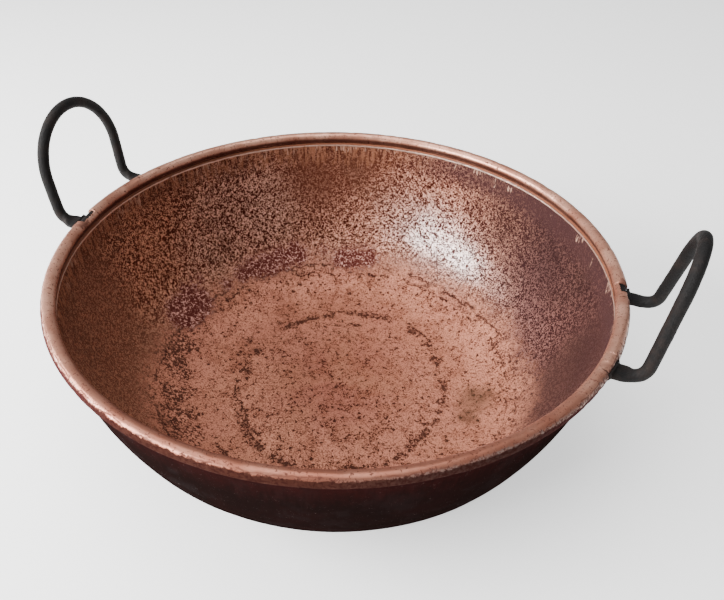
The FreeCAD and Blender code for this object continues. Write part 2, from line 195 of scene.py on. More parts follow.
def columnAzimuths(count):
    # Evenly spread columns, drawn together at the notches
    around = np.linspace(0, 360, 360 * 20 + 1)
    density = np.ones_like(around)
    for first, last, _ in notches:
        inside = ease(around, first - 1, first) * (1 - ease(around, last, last + 1))
        density += panShape["notchColumns"] * inside
    total = np.concatenate([[0], np.cumsum((density[1:] + density[:-1]) / 2)])
    return np.interp(np.arange(count) / count * total[-1], total, around)


azimuths = columnAzimuths(panShape["columns"])
compass = np.stack([np.cos(np.radians(azimuths)), np.sin(np.radians(azimuths))])


def freeEdgeAngles():
    # The roll ends under the wire, but well above it in the notches
    lumps, seed = panShape["edgeLumps"], panShape["edgeSeed"]
    rough = np.array([noise.noise(Vector((azimuth * lumps, seed, 0))) for azimuth in azimuths])
    edges = panShape["freeEdge"] + panShape["edgeWander"] * rough
    slope = math.degrees(notchShape["edge"] / wireCircle)
    for first, last, top in notches:
        inside = ease(azimuths, first - slope, first) * (1 - ease(azimuths, last, last + slope))
        rise = inside * (top + notchShape["ragged"] * rough - panShape["freeEdge"])
        edges = np.maximum(edges, panShape["freeEdge"] + rise)
    return edges


freeEdges = freeEdgeAngles()
even = np.ones(len(azimuths))


def faceRows(offset, step, rimSteps):
    # One face of the sheet, from the axis to the free edge, as rows of points and normals
    rows = [(radius * even + 1j * offset, 1j * even) for radius in panShape["flatRadii"]]
    lengths = [radius * math.radians(abs(last - first)) for _, radius, _, first, last in arcs[:2]]
    counts = [math.ceil(length / step) for length in lengths] + list(rimSteps)
    for arc, count in zip(arcs, counts):
        centre, radius, side, first, last = arc
        isRoll = arc is arcs[-1]
        ends = freeEdges if isRoll else last * even
        for i in range(count + isRoll):
            angles = first + (ends - first) * i / count
            rows.append((centre + (radius + side * offset) * polar(angles), side * polar(angles)))
    return rows


def edgeRows():
    # The free edge, rounded over
    t = panShape["sheet"]
    fullness = 0.4
    out = polar(freeEdges)
    along = polar(freeEdges - 90)
    rows = []
    for angle in (135, 90, 45):
        across = rollRadius + t / 2 + t / 2 * math.cos(math.radians(angle))
        beyond = fullness * t * math.sin(math.radians(angle))
        rows.append((rollAt + across * out + beyond * along, along))
    return rows


def wornPoints(row, normal, isBead):
    points = np.stack([row.real * compass[0], row.real * compass[1], row.imag], axis=1)
    push = np.zeros(len(row))
    freedom = ease(row.real, *panWear["swellRadii"]) * (1 - ease(row.imag, *panWear["swellHeights"]))
    if freedom.max() > 0:
        push += freedom * panWear["swell"] * ripple(points, panWear["swellSize"])
    struck = 1 - ease(row.imag, *panWear["hammerHeights"])
    if struck.max() > 0:
        push += struck * panWear["hammer"] * ripple(points, panWear["hammerSize"], seed=2)
    if isBead:
        dents = ease(ripple(points, panWear["dentSize"], seed=5), *panWear["dentEdge"])
        bow = 1 + ripple(points, panWear["bowSize"], seed=6)
        push -= panWear["dent"] * dents + panWear["bow"] * bow
    standing = row.real < panWear["tableRadius"]
    push[standing] = np.maximum(push[standing], 0)
    shift = push * normal
    points[:, 0] += shift.real * compass[0]
    points[:, 1] += shift.real * compass[1]
    points[:, 2] += shift.imag
    return points


def bridge(inner, outer, skin, faces, skins):
    # Joins two rings of vertices, of which the outer may have several times as many
    ratio = len(outer) // len(inner)
    for j, here in enumerate(inner):
        after = inner[(j + 1) % len(inner)]
        if ratio == 1:
            made = [(here, after, outer[(j + 1) % len(outer)], outer[j])]
        else:
            ring = [outer[(j * ratio + k) % len(outer)] for k in range(ratio + 1)]
            middle = ratio // 2
            made = [(here, ring[k + 1], ring[k]) for k in range(middle)]
            made += [(after, ring[k + 1], ring[k]) for k in range(middle, ratio)]
            made.append((here, after, ring[middle]))
        faces.extend(made)
        skins.extend([skin] * len(made))


def buildPan():
    outer = faceRows(0, panShape["outerStep"], panShape["outerRimSteps"])
    inner = faceRows(panShape["sheet"], panShape["innerStep"], panShape["innerRimSteps"])
    beadStart = len(inner) - panShape["innerRimSteps"][2] - 1
    stack = [(row, normal, outsideSkin, False) for row, normal in outer]
    stack += [(row, normal, beadSkin, False) for row, normal in edgeRows()]
    for i, (row, normal) in reversed(list(enumerate(inner))):
        stack.append((row, normal, beadSkin if i >= beadStart else insideSkin, i > beadStart))
    points, faces, skins, rings = [], [], [], []
    for row, normal, skin, isBead in stack:
        stride = next(every for radius, every in panShape["thinning"] if row.real[0] >= radius)
        worn = wornPoints(row, normal, isBead)[::stride]
        if row.real[0] == 0:
            worn = worn[:1]
        rings.append((list(range(len(points), len(points) + len(worn))), skin))
        worn[:, 2] = np.maximum(worn[:, 2], 0)
        points.extend(worn.tolist())
    for (first, firstSkin), (second, secondSkin) in zip(rings, rings[1:]):
        skin = insideSkin if insideSkin in (firstSkin, secondSkin) else secondSkin
        small, large = (first, second) if len(first) <= len(second) else (second, first)
        if len(small) == 1:
            faces += [(small[0], large[j], large[(j + 1) % len(large)]) for j in range(len(large))]
            skins += [skin] * len(large)
        else:
            bridge(small, large, skin, faces, skins)
    made = makePiece("copper_pan_sheet", points, faces, "pan_bowl")
    made.data.polygons.foreach_set("material_index", skins)
    smoothOver(made, angle=50)
    return made


def smoothOver(piece, angle):
    work = bmesh.new()
    work.from_mesh(piece.data)
    bmesh.ops.recalc_face_normals(work, faces=work.faces)
    work.to_mesh(piece.data)
    work.free()
    piece.data.shade_smooth()
    piece.data.set_sharp_from_angle(angle=math.radians(angle))


pan = buildPan()
print("pan", len(pan.data.polygons), "faces")


# The forged loops
loops = {
    "left": {"height": 84.2, "halfWidth": 43.7, "crown": 48.0, "lean": 4.66, "seed": 3},
    "right": {"height": 84.7, "halfWidth": 30.8, "crown": 43.5, "lean": 6.6, "seed": 8},
}
forging = {
    "rod": 9.0,
    "sides": 26,
    "step": 1.2,
    "corner": 239.6,  # how far from the axis the rod turns up
    "cornerSpan": 43.2,  # and how far to each side of the middle
    "bend": 11,
    "footDrop": 1.2,
    "footBand": 6,  # below this height over the wire the rod is a foot
    "footStart": 4.9,  # how far out from the wire's middle the flat begins
    "tabThickness": 3.4,
    "tabRounding": 0.62,  # 1 would be an oval, less is squarer
    "tabEnd": 226.5,  # where the flat begins to draw in to the round rod
    "roundStart": 235.5,
    "hookInner": 3.9,
    "hookOuter": 6.3,
    "hookMiddle": 4,  # out from the wire's middle, where the strap is centred on its corner
    "hookAngles": (-94, 28),
    "hookSteps": (12, 26),  # across the strap and round the wire
    "voxel": 0.55,
    "relaxing": 3,
    "pitting": 0.16,
    "pits": ((0.7, 9, 0), (0.5, 2.6, 1)),  # each one's share, size and seed
    "unevenness": 0.3,
    "unevenStep": 0.06,
}


def loopPath(loop):
    # The rod's centre line in the handle's own frame: +X outward, Y along the rim, Z up
    lean = math.radians(loop["lean"])
    up = np.array([math.sin(lean), 0, math.cos(lean)])
    along = np.array([0.0, 1.0, 0.0])
    footHeight = wireHeight - forging["footDrop"]
    base = np.array([forging["corner"], 0, footHeight])
    span, wide, tall = forging["cornerSpan"], loop["halfWidth"], loop["crown"]
    middle = loop["height"] - tall
    # The leg runs straight from the corner and touches the crown's ellipse
    angles = np.linspace(-1.0, math.pi / 2, 800)
    x, z = wide * np.cos(angles), middle + tall * np.sin(angles)
    touch = np.abs((x - span) * tall * np.cos(angles) + z * wide * np.sin(angles)).argmin()
    crownAngles = np.linspace(angles[touch], math.pi - angles[touch], 70)
    crown = [base + along * wide * math.cos(a) + up * (middle + tall * math.sin(a)) for a in crownAngles]
    footIn = np.array([math.sqrt((wireCircle + forging["footStart"]) ** 2 - span**2), span, footHeight])
    half = [footIn] + bend(footIn, base + along * span, crown[0])
    other = [point * np.array([1, -1, 1]) for point in half[::-1]]
    return evenSteps(np.array(half + crown + other), forging["step"])


def bend(before, corner, after):
    towards = (before - corner) / np.linalg.norm(before - corner)
    away = (after - corner) / np.linalg.norm(after - corner)
    start, end = corner + towards * forging["bend"], corner + away * forging["bend"]
    return [(1 - s) ** 2 * start + 2 * s * (1 - s) * corner + s * s * end for s in np.linspace(0, 1, 14)]


def evenSteps(points, step):
    run = np.concatenate([[0], np.cumsum(np.linalg.norm(np.diff(points, axis=0), axis=1))])
    places = np.linspace(0, run[-1], int(run[-1] / step))
    return np.stack([np.interp(places, run, points[:, k]) for k in range(3)], axis=1)


def sweepRod(path, seed, tabs):
    # Flat and wide at the feet, round along the loop
    tangents = np.gradient(path, axis=0)
    tangents /= np.linalg.norm(tangents, axis=1)[:, None]
    across = np.array([0.0, 1.0, 0.0])
    sides = forging["sides"]
    around = np.linspace(0, 2 * math.pi, sides, endpoint=False)
    points, faces = [], []
    for i, (place, tangent) in enumerate(zip(path, tangents)):
        across = across - tangent * across.dot(tangent)
        across /= np.linalg.norm(across)
        thick = np.cross(tangent, across)
        isFoot = place[2] < wireHeight + forging["footBand"]
        tab = tabs[int(place[1] > 0)]
        roundness = ease(place[0], forging["tabEnd"], forging["roundStart"]) if isFoot else 1.0
        lump = noise.noise(Vector((i * forging["unevenStep"], seed, 0)))
        uneven = 1 + forging["unevenness"] / forging["rod"] * lump
        width = tab + (forging["rod"] * uneven - tab) * roundness
        depth = forging["tabThickness"] + (forging["rod"] / uneven - forging["tabThickness"]) * roundness
        power = forging["tabRounding"] + (1 - forging["tabRounding"]) * roundness
        c, s = np.cos(around), np.sin(around)
        ring = np.sign(c)[:, None] * np.abs(c)[:, None] ** power * across * width / 2
        ring = ring + np.sign(s)[:, None] * np.abs(s)[:, None] ** power * thick * depth / 2
        ring = place + ring
        if isFoot:
            # The strap's end follows the rim's curve
            curved = np.sqrt(place[0] ** 2 + place[1] ** 2 - ring[:, 1] ** 2) - place[0]
            ring[:, 0] += curved * (1 - roundness)
        points.extend(ring.tolist())
        if i:
            first = (i - 1) * sides
            pairs = [(first + k, first + (k + 1) % sides) for k in range(sides)]
            faces += [(here, after, after + sides, here + sides) for here, after in pairs]
    last = len(points) - sides
    faces += [tuple(range(sides))[::-1], tuple(range(last, last + sides))]
    return points, faces


def hookBand(sign, tab):
    # The end of the foot, wrapped round the rim wire from its outer side to below it
    half = math.asin(tab / 2 / wireCircle)
    middle = sign * math.asin(forging["cornerSpan"] / (wireCircle + forging["hookMiddle"]))
    turns = np.linspace(middle - half, middle + half, forging["hookSteps"][0])
    angles = np.linspace(*forging["hookAngles"], forging["hookSteps"][1])
    section = [rollAt + forging["hookInner"] * polar(a) for a in angles]
    section += [rollAt + forging["hookOuter"] * polar(a) for a in angles[::-1]]
    points = [(p.real * math.cos(t), p.real * math.sin(t), p.imag) for t in turns for p in section]
    n = len(section)
    faces = [
        (j * n + k, j * n + (k + 1) % n, (j + 1) * n + (k + 1) % n, (j + 1) * n + k)
        for j in range(len(turns) - 1)
        for k in range(n)
    ]
    faces += [tuple(range(n))[::-1], tuple(range((len(turns) - 1) * n, len(turns) * n))]
    return points, faces


def buildLoop(side):
    loop = loops[side]
    points, faces = sweepRod(loopPath(loop), loop["seed"], tabWidths[side])
    for sign, tab in zip((-1, 1), tabWidths[side]):
        more, moreFaces = hookBand(sign, tab)
        faces += [tuple(len(points) + k for k in face) for face in moreFaces]
        points += more
    spin = Matrix.Rotation(math.radians(handleTurns[side]), 3, "Z")
    points = [spin @ Vector(point) for point in points]
    piece = makePiece(f"forged_loop_{side}", points, faces, f"handle_{side}")
    smoothOver(piece, angle=180)
    remesh = piece.modifiers.new("weld", "REMESH")
    remesh.mode = "VOXEL"
    remesh.voxel_size = forging["voxel"] * mm
    relax = piece.modifiers.new("relax", "SMOOTH")
    relax.factor = 0.5
    relax.iterations = forging["relaxing"]
    settled = bpy.data.meshes.new_from_object(piece.evaluated_get(bpy.context.evaluated_depsgraph_get()))
    piece.modifiers.clear()
    piece.data = settled
    pitForging(settled, loop["seed"])
    piece.data.shade_smooth()
    return piece


def pitForging(mesh, seed):
    # Hammer flats and scale pits on the iron's skin
    count = len(mesh.vertices)
    places, normals = np.empty(count * 3), np.empty(count * 3)
    mesh.vertices.foreach_get("co", places)
    mesh.vertex_normals.foreach_get("vector", normals)
    places, normals = places.reshape(-1, 3), normals.reshape(-1, 3)
    push = sum(share * ripple(places / mm, size, seed + more) for share, size, more in forging["pits"])
    places += normals * (push * forging["pitting"] * mm)[:, None]
    mesh.vertices.foreach_set("co", places.ravel())
    mesh.update()


forgedLoops = {side: buildLoop(side) for side in loops}
print("loops", [len(piece.data.polygons) for piece in forgedLoops.values()], "faces")


# Finishes
class Value:
    # A socket that takes part in sums: each operator adds a Math node
    def __init__(self, finish, socket):
        self.finish = finish
        self.socket = socket

    def __add__(self, other):
        return self.finish.sum("ADD", self, other)

    __radd__ = __add__

    def __sub__(self, other):
        return self.finish.sum("SUBTRACT", self, other)

    def __rsub__(self, other):
        return self.finish.sum("SUBTRACT", other, self)

    def __mul__(self, other):
        return self.finish.sum("MULTIPLY", self, other)

    __rmul__ = __mul__

    def __truediv__(self, other):
        return self.finish.sum("DIVIDE", self, other)

    def __abs__(self):
        return self.finish.sum("ABSOLUTE", self)


class Finish:
    # One material and its nodes
    def __init__(self, name, **fixed):
        self.material = bpy.data.materials.new(name)
        self.material.use_nodes = True
        self.tree = self.material.node_tree
        self.shader = self.tree.nodes["Principled BSDF"]
        for socket, value in fixed.items():
            self.shader.inputs[socket.replace("_", " ")].default_value = value
        self.place = self.node("ShaderNodeTexCoord", {}, {}, "Object")

    def locate(self):
        # The place on the part in millimetres, and its distance from the axis
        split = self.node("ShaderNodeSeparateXYZ", {}, {"Vector": self.place}, "X").socket.node
        self.x, self.y, self.z = (Value(self, split.outputs[axis]) / mm for axis in "XYZ")
        self.radius = self.sum("SQRT", self.x * self.x + self.y * self.y)

    def node(self, kind, settings, inputs, output=0):
        made = self.tree.nodes.new(kind)
        for name, setting in settings.items():
            setattr(made, name, setting)
        for name, value in inputs.items():
            socket = made.inputs[name] if isinstance(name, int) else self.find(made.inputs, name)
            if isinstance(value, Value):
                self.tree.links.new(value.socket, socket)
            else:
                socket.default_value = value
        found = made.outputs[output] if isinstance(output, int) else self.find(made.outputs, output)
        return Value(self, found)

    def find(self, sockets, name):
        return next(socket for socket in sockets if socket.enabled and socket.name == name)

    def sum(self, operation, *values):
        return self.node("ShaderNodeMath", {"operation": operation}, dict(enumerate(values)))

    def noise(self, size, detail=2.0, roughness=0.5, distortion=0.0, place=None):
        inputs = {"Vector": place or self.place, "Scale": 1 / (size * mm), "Detail": detail}
        inputs.update({"Roughness": roughness, "Distortion": distortion})
        return self.node("ShaderNodeTexNoise", {}, inputs, "Fac")

    def smooth(self, value, start, end):
        settings = {"interpolation_type": "SMOOTHSTEP"}
        inputs = {"Value": value, "From Min": start, "From Max": end}
        return self.node("ShaderNodeMapRange", settings, inputs, "Result")

    def vector(self, operation, first, second, output="Vector"):
        return self.node("ShaderNodeVectorMath", {"operation": operation}, {0: first, 1: second}, output)

    def mix(self, mask, first, second):
        settings = {"data_type": "RGBA"}
        return self.node("ShaderNodeMix", settings, {"Factor": mask, "A": first, "B": second}, "Result")

    def near(self, spots, wobble, fuzz):
        # 1 inside the union of some balls, 0 outside, with an uneven border
        depth = -1000.0  # outside them all
        for centre, size in spots:
            at = tuple(value * mm for value in centre)
            away = self.vector("DISTANCE", self.place, at, "Value")
            depth = self.sum("MAXIMUM", size - away / mm, depth)
        return self.smooth(depth + wobble, -fuzz, fuzz)

    def stretched(self, size, along, detail=2.0, roughness=0.5):
        # Noise drawn out along Z
        place = self.vector("MULTIPLY", self.place, (1, 1, 1 / along))
        return self.noise(size, detail, roughness, 0.0, place)

    def set(self, **links):
        for socket, value in links.items():
            self.tree.links.new(value.socket, self.shader.inputs[socket.replace("_", " ")])

    def bump(self, height, depth, strength=1.0):
        inputs = {"Height": height, "Distance": depth * mm, "Strength": strength}
        return self.node("ShaderNodeBump", {}, inputs, "Normal")


def paint(red, green, blue):
    # A colour as it looks on screen, turned into linear light
    channels = [channel / 255 for channel in (red, green, blue)]
    return tuple(((c + 0.055) / 1.055) ** 2.4 if c > 0.04 else c / 12.92 for c in channels) + (1.0,)


insideLook = {
    "floor": paint(192, 128, 102),
    "floorDull": paint(172, 108, 84),
    "floorPink": paint(186, 118, 100),
    "floorLight": paint(224, 152, 124),
    "speck": paint(44, 16, 11),
    "backLight": paint(224, 160, 134),
    "backDark": paint(62, 22, 12),
    "leftLight": paint(222, 160, 128),
    "leftDark": paint(70, 27, 13),
    "rightLight": paint(136, 94, 86),
    "rightDark": paint(44, 20, 19),
    # painted shade, for the darkest parts of the right and back wall
    "shaded": paint(46, 26, 26),
    # painted shade under the ridge on the right
    "underRidge": paint(70, 44, 44),
    "curtainLight": paint(156, 104, 78),
    "curtainDark": paint(72, 32, 18),
    "stainLight": paint(206, 150, 136),
    "stain": paint(74, 26, 22),
    "frost": paint(236, 188, 166),
    "baked": paint(88, 46, 30),
    "smudge": paint(72, 54, 38),
    "run": paint(206, 164, 142),
    "ridge": paint(240, 208, 190),
    # the ridge's crest, worn bright and painted as a highlight
    "groove": paint(134, 82, 60),
    "crease": paint(44, 20, 14),
    "coat": {"Specular_IOR_Level": 0.12, "Coat_Roughness": 0.27, "Coat_IOR": 2.3},
    # Noises, from the widest to the finest: size of the lumps, detail, roughness and distortion
    "clouds": (42, 4, 0.6),
    "patches": (10, 3, 0.6, 0.4),
    "flecks": (2.5, 2, 0.65, 1.0),
    "worms": (2.15, 1.0, 0.5, 1.5),
    "grains": (1.0, 2, 0.6, 0.6),
    "floorEdge": (152, 186),  # radii between which the floor's finish gives way to the wall's
    # Heights between which each of these sets in, from the wall up to the roll
    "shadedHeights": (60, 135),
    "plainHeights": (108, 126),
    "curtainHeights": (112, 130),
    "runHeights": (132, 136),
    "ridgeHeight": 137.3,
    "grooveHeights": (137.8, 138.5),
    "creaseHeights": (139.7, 140.1),
    "cracks": ((162, 30, 0.4), (155, 21, 0.49)),  # each one's radius, and the lumps that break it up
    # The rings worn into the floor aren't quite round: their middle, and how much narrower along X
    "ringShift": 4,
    "ringSquash": 0.9,
    # Each ring's radius, half width, strength, and the ball in which it shows
    "wearRings": (
        (104, 3.6, 0.13, (4, 0, 2), 150),
        (110, 1.2, 0.12, (56, 84, 2), 40),
        (98, 1.4, 0.12, (-62, -64, 2), 50),
        (85, 1.6, 0.12, (-35, 72, 2), 26),
        (121, 1.8, 0.10, (-103, 22, 2), 22),
        (132, 2.2, 0.15, (-50, -118, 4), 26),
    ),
    "stains": (
        ((-166, 21, 29), 20),
        ((-167, 3, 29), 19),
        ((-174, 44, 37), 5),
        ((-154, 63, 24), 5),
        ((-147, 84, 27), 9),
        ((-140, 97, 29), 13),
        ((-131, 109, 30), 15),
        ((-121, 121, 31), 15),
        ((-110, 134, 32), 14),
        ((-84, 152, 33), 4),
        ((-62, 155, 26), 12),
        ((-50, 160, 27), 13),
        ((-38, 164, 28), 12),
    ),
    "leftBand": (
        ((-149, -26, 14), 10),
        ((-148, -46, 17), 10),
        ((-135, -60, 12), 12),
        ((-121, -80, 10), 13),
        ((-104, -100, 10), 12),
        ((-84, -116, 9), 10),
    ),
    "smudges": (((124, 28, 5), 14), ((124, 8, 4), 10)),
    # Where the wall is rubbed bright, and where painted shade makes it darkest
    "rubbed": (((-4, 200, 76), 40), ((24, 193, 60), 42), ((54, 180, 48), 30)),
    "shade": (((116, 174, 104), 58), ((150, 140, 98), 44), ((186, 92, 108), 22), ((204, 30, 84), 30)),
    "bakedWall": (((-103, 184, 108), 40), ((-70, 200, 118), 36)),
    "frosted": (((-181, 104, 92), 46), ((-158, 138, 82), 40), ((-190, 70, 62), 26)),
}


def wornFloor(f, look):
    # Broken rings are worn into the floor, and the dark specks crowd in them
    clouds, patches = f.clouds, f.patches
    squashed = (f.x - look["ringShift"]) / look["ringSquash"]
    run = f.sum("SQRT", squashed * squashed + f.y * f.y)
    wander = (clouds - 0.5) * 9 + (patches - 0.5) * 11
    broken = f.smooth(f.noise(16, 3, 0.6, 0.5), 0.42, 0.54)
    crowding = (clouds - 0.5) * 0.1 + (patches - 0.5) * 0.2
    for ring, halfWidth, strength, centre, size in look["wearRings"]:
        band = 1 - f.smooth(abs(run + wander - ring), halfWidth * 0.3, halfWidth * 2)
        crowding = crowding + band * f.near([(centre, size)], f.wobble, 8) * broken * strength
    trail = f.near(look["leftBand"], f.wobble, 9)
    crowding = crowding + trail * 0.11
    crowding = crowding + (1 - f.smooth(run, 84, 110)) * 0.012
    crowding = crowding + f.smooth(f.radius, 136, 166) * 0.04
    specks = f.smooth(f.flecks + crowding, 0.575, 0.6)
    dots = f.smooth(f.grains + crowding * 0.8, 0.53, 0.57)
    specks = f.sum("MAXIMUM", specks, dots * 0.6)
    colour = f.mix(f.smooth(clouds, 0.35, 0.65), look["floor"], look["floorDull"])
    colour = f.mix(f.smooth(f.noise(60, 3), 0.4, 0.6) * 0.6, colour, look["floorPink"])
    # Painted reflection: the floor is lighter towards +X
    colour = f.mix(f.smooth(f.x + (clouds - 0.5) * 80, 0, 150) * 0.35, colour, look["floorLight"])
    paler = f.sum("MAXIMUM", f.smooth(run + (clouds - 0.5) * 50, 25, 85) * 0.5, trail * 0.8)
    colour = f.mix(paler, colour, look["floorLight"])
    blotches = f.smooth(patches + (clouds - 0.5) * 0.8, 0.54, 0.64) * 0.35
    colour = f.mix(blotches, colour, look["floorDull"])
    return f.mix(specks * 0.92, colour, look["speck"]), specks, trail


def veinedWall(f, look):
    # Brown veins on the left, grey pink and fainter ones on the right; the tones by side are partly the
    # copper's own and partly painted light and shade
    clouds, patches, worms = f.clouds, f.patches, f.worms
    leftSide = f.smooth(f.x * -1 - f.y * 0.35 + (clouds - 0.5) * 60, 110, 190)
    rightSide = f.smooth(f.x - f.y * 0.25 + (clouds - 0.5) * 60, 30, 120)
    light = f.mix(rightSide, f.mix(leftSide, look["backLight"], look["leftLight"]), look["rightLight"])
    dark = f.mix(rightSide, f.mix(leftSide, look["backDark"], look["leftDark"]), look["rightDark"])
    light = f.mix(f.near(look["frosted"], f.wobble, 30) * 0.6, light, look["frost"])
    shaded = f.smooth(f.z + (clouds - 0.5) * 80, *look["shadedHeights"])
    veins = worms + (f.grains - 0.5) * 0.3 + (clouds - 0.5) * 0.12 - shaded * 0.015
    veins = f.smooth(veins, 0.5, 0.54)
    veins = veins * (1 - shaded * 0.1) + (f.streaks - 0.5) * shaded * 0.3
    # Towards the front of both sides the wall is plain
    plain = f.smooth(f.x * 0.25 - f.y + (clouds - 0.5) * 40, -45, 10) * 0.6
    colour = f.mix(veins + (0.17 - veins) * plain, dark, light)
    colour = f.mix(f.near(look["bakedWall"], f.wobble, 30) * 0.7, colour, look["baked"])
    olive = f.smooth(f.noise(55, 2), 0.48, 0.66) * 0.12
    colour = f.mix(olive, colour, look["smudge"])
    # Painted shade darkens the right and back wall inside the shade balls
    colour = f.mix(f.near(look["shade"], f.wobble, 38) * 0.6, colour, look["shaded"])
    # Under the ridge it is plain and darkened with painted shade on the right, and hung with narrow streaks
    # on the left and back
    fringe = (f.streaks - 0.5) * 44 + (patches - 0.5) * 8
    plainTop = f.smooth(f.z + fringe * 0.6, *look["plainHeights"]) * f.toRight * 0.7
    colour = f.mix(plainTop, colour, look["underRidge"])
    folds = f.smooth(f.stretched(3.2, 7, 3, 0.6) + (worms - 0.5) * 0.4, 0.42, 0.56)
    curtain = f.mix(folds, look["curtainDark"], look["curtainLight"])
    hung = f.smooth(f.z + fringe, *look["curtainHeights"]) * (1 - f.toRight) * 0.65
    return f.mix(hung, colour, curtain), veins


def crackedLines(f, look):
    # Cracked lines where the floor turns up into the wall
    wander = f.radius + (f.patches - 0.5) * 10 + (f.clouds - 0.5) * 12 + (f.worms - 0.5) * 3
    line = 0.0
    for crack, size, amount in look["cracks"]:
        gaps = f.smooth(f.noise(size, 2), amount, amount + 0.08)
        found = (1 - f.smooth(abs(wander - crack), 0.3, 1.3)) * gaps
        line = f.sum("MAXIMUM", found, line)
    return line


def stainedPatches(f, look, colour, trail):
    # Stains, whose borders follow the veins, pale flecks in the dark trail, and the smudge
    stains = f.near(look["stains"], f.wobble * 0.45 + (0.5 - f.worms) * 18, 4)
    freckles = f.smooth(f.flecks + (f.grains - 0.5) * 0.3, 0.555, 0.585)
    colour = f.mix(stains * 0.95, colour, f.mix(freckles, look["stain"], look["stainLight"]))
    paleFlecks = trail * (1 - f.smooth(f.flecks, 0.42, 0.47)) * 0.7
    colour = f.mix(paleFlecks, colour, look["floorLight"])
    return f.mix(f.near(look["smudges"], f.wobble, 9) * 0.6, colour, look["smudge"]), stains


def rubbedAndHighlitRidge(f, look, colour):
    # Light runs hang below the ridge, whose crest is rubbed bright and painted with a highlight; above it
    # come the dark groove and the crease
    patches = f.patches
    reach = f.smooth(f.noise(16, 2), 0.45, 0.62) * 12 + f.stretched(3, 20, 0) * 22 - 18
    runs = f.smooth(f.stretched(1.5, 9, 2, 0.6), 0.52, 0.57) * f.smooth(f.z + reach, *look["runHeights"])
    colour = f.mix(runs * (0.55 + f.toRight * 0.15), colour, look["run"])
    # The crest's bright line: partly wear, partly a painted highlight
    ridge = 1 - f.smooth(abs(f.z - look["ridgeHeight"] + (patches - 0.5) * 1.2), 0.3, 0.9)
    bright = ridge * f.smooth(patches, 0.26, 0.42)
    colour = f.mix(bright * 0.95, colour, look["ridge"])
    colour = f.mix(f.smooth(f.z, *look["grooveHeights"]), colour, look["groove"])
    crease = f.smooth(f.z + (patches - 0.5) * 0.6, *look["creaseHeights"])
    return f.mix(crease, colour, look["crease"]), bright, crease


def wornCopper():
    look = insideLook
    f = Finish("worn copper inside", **look["coat"])
    f.locate()
    f.clouds = f.noise(*look["clouds"])
    f.patches = f.noise(*look["patches"])
    f.flecks = f.noise(*look["flecks"])
    f.worms = f.noise(*look["worms"])
    f.grains = f.noise(*look["grains"])
    f.streaks = f.stretched(3, 8)
    f.wobble = (f.patches - 0.5) * 16 + (f.clouds - 0.5) * 20
    f.toRight = f.smooth(f.x + f.y * 0.2, -10, 90)
    floorColour, specks, trail = wornFloor(f, look)
    wallColour, veins = veinedWall(f, look)
    wall = f.smooth(f.radius + f.wobble, *look["floorEdge"])
    line = crackedLines(f, look)
    colour = f.mix(line * 0.85, f.mix(wall, floorColour, wallColour), look["speck"])
    colour, stains = stainedPatches(f, look, colour, trail)
    colour, bright, crease = rubbedAndHighlitRidge(f, look, colour)
    rubbed = f.near(look["rubbed"], f.wobble, 24)
    tarnish = f.sum("MAXIMUM", f.sum("MAXIMUM", specks * (1 - wall), (1 - veins) * wall), stains)
    tarnish = f.sum("MINIMUM", f.sum("MAXIMUM", tarnish, line), 1)
    tarnish = f.sum("MAXIMUM", tarnish * (1 - bright), crease)
    f.set(
        Base_Color=colour,
        Roughness=0.5 + tarnish * 0.35 - bright * 0.2 + (f.patches - 0.5) * 0.1,
        Metallic=0.55 - tarnish * 0.5 + bright * 0.3,
        Coat_Weight=wall * (0.12 + rubbed * 0.88) * (1 - tarnish),
        Normal=f.bump((1 - tarnish) * (0.6 + wall * 0.4) + f.grains * 0.4, 0.9, 0.8),
    )
    return f.material


rimLook = {
    "bright": paint(208, 156, 134),
    "worn": paint(172, 118, 98),
    "oxide": paint(80, 48, 42),
    "purple": paint(66, 30, 34),
    "grey": paint(132, 118, 112),
    # painted shade for the front of the bead
    "front": paint(132, 78, 62),
    "maroon": paint(42, 20, 17),
    # painted highlight, the bright broken line on the bead's outer side
    "highlightLine": paint(230, 192, 182),
    # dark colour for the roll's underside and for the painted shade on its inner side
    "groove": paint(54, 26, 22),
    "tears": (((-214, -52, 151), 8), ((-219, -38, 150), 6), ((216, 50, 150), 5)),
    "outerEdge": (-2.6, -0.8),  # radii from the rim's outside at which the outer side begins
    "creaseInset": 2.2,
    "highlightLineHeight": 1.9,  # over the wire's middle, as are the heights below
    "skirtHeights": (0.5, 1.5),
    "skirtClimb": 2.2,  # how much higher the skirt reaches at the front
    "belowHeights": (-4.4, -2.6),
    "innerHeights": (-0.6, 1.8),
}


